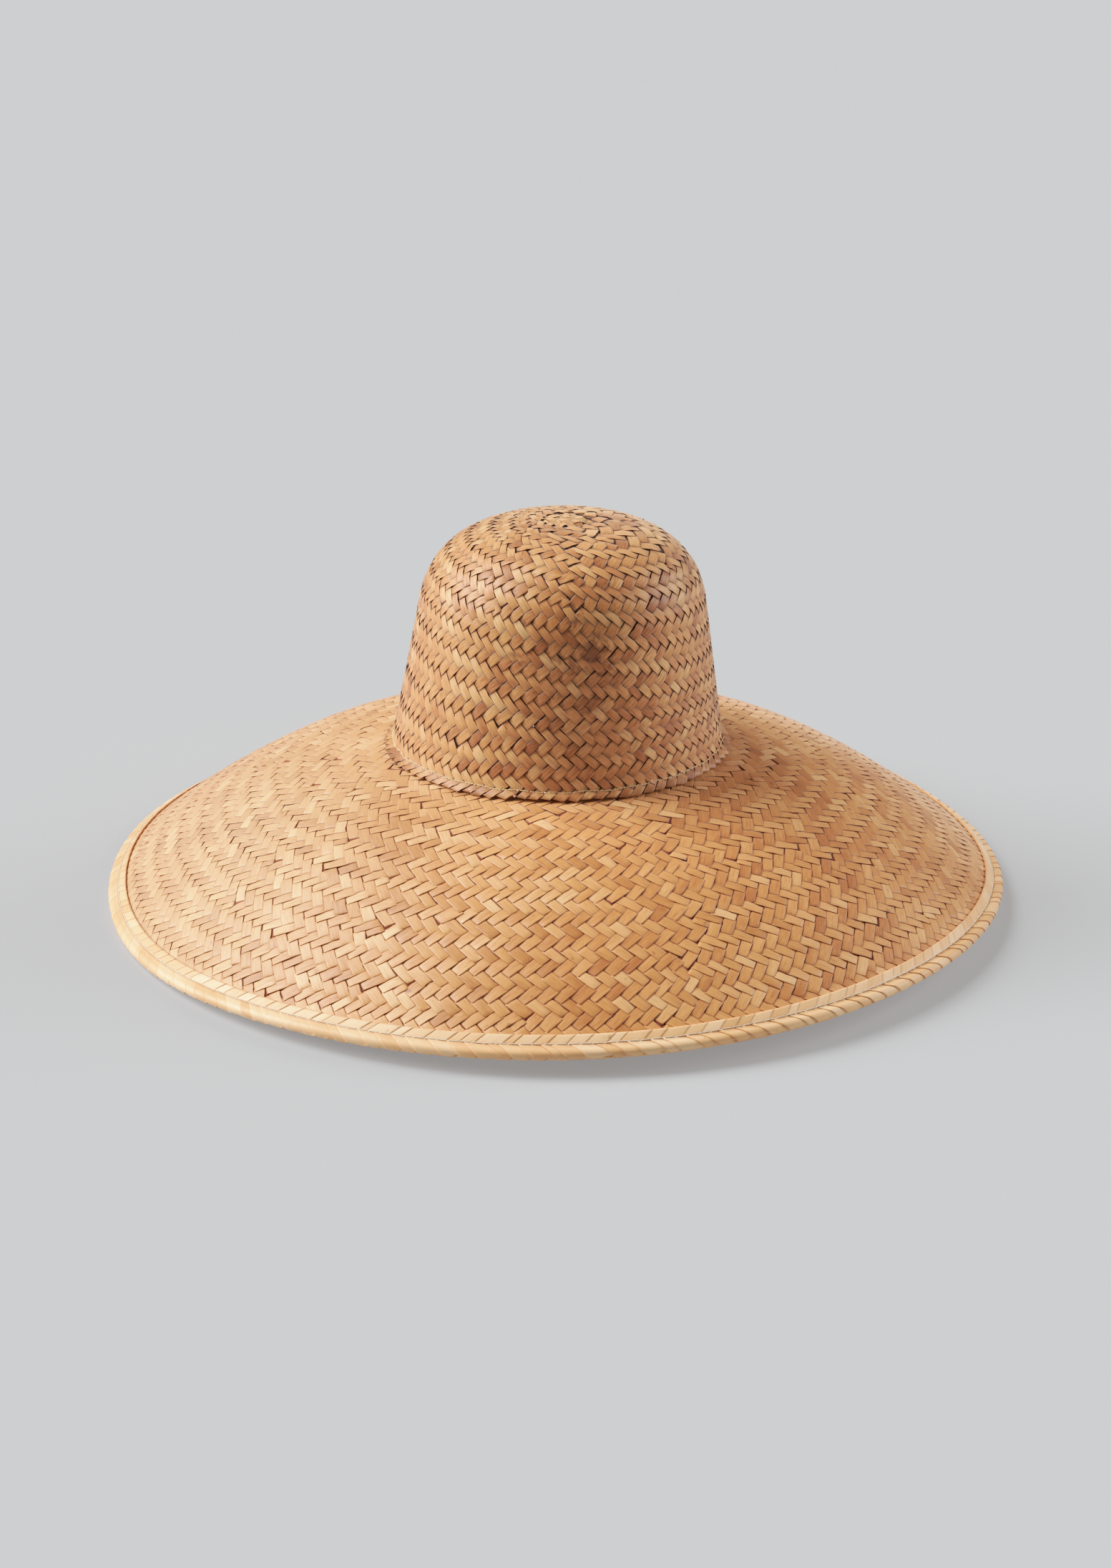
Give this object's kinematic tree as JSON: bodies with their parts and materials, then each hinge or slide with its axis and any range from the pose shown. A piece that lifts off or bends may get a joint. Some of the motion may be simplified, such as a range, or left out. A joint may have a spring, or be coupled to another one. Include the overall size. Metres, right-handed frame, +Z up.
{
  "type": "woven sun hat",
  "caption": "Wide-brimmed sun hat of woven palm leaf: domed crown, bell-shaped sloping brim, rolled plait edge and a ribbon sweatband inside.",
  "frame": {"origin": "on the hat's axis, in the plane that the rolled edge of the brim rests on", "axes": "+Z up along the hat's axis, towards the top of the crown; -Y is the side that faces the front"},
  "size_m": [0.5159, 0.516, 0.218],
  "materials": {
    "crown_leaf": "dried palm leaf strips, slightly glossy, amber and tan",
    "brim_leaf": "dried palm leaf strips, slightly glossy, tan and cream",
    "plait_leaf": "pale plaited leaf, matte",
    "cord_straw": "twisted two-ply cord",
    "thread": "off-white sewing thread",
    "wire": "plain drawn wire",
    "ribbon": "ribbed grosgrain ribbon"
  },
  "bodies": {
    "root": {"crown_weave": "crown_leaf", "crown_seam_cord": "cord_straw", "crown_seam_inner_thread": "thread", "brim_weave": "brim_leaf", "edge_binding": "plait_leaf", "edge_wire": "wire", "edge_stitch_top": "thread", "edge_stitch_under": "thread", "sweatband": "ribbon", "sweatband_stitch": "thread"}
  },
  "joints": []
}
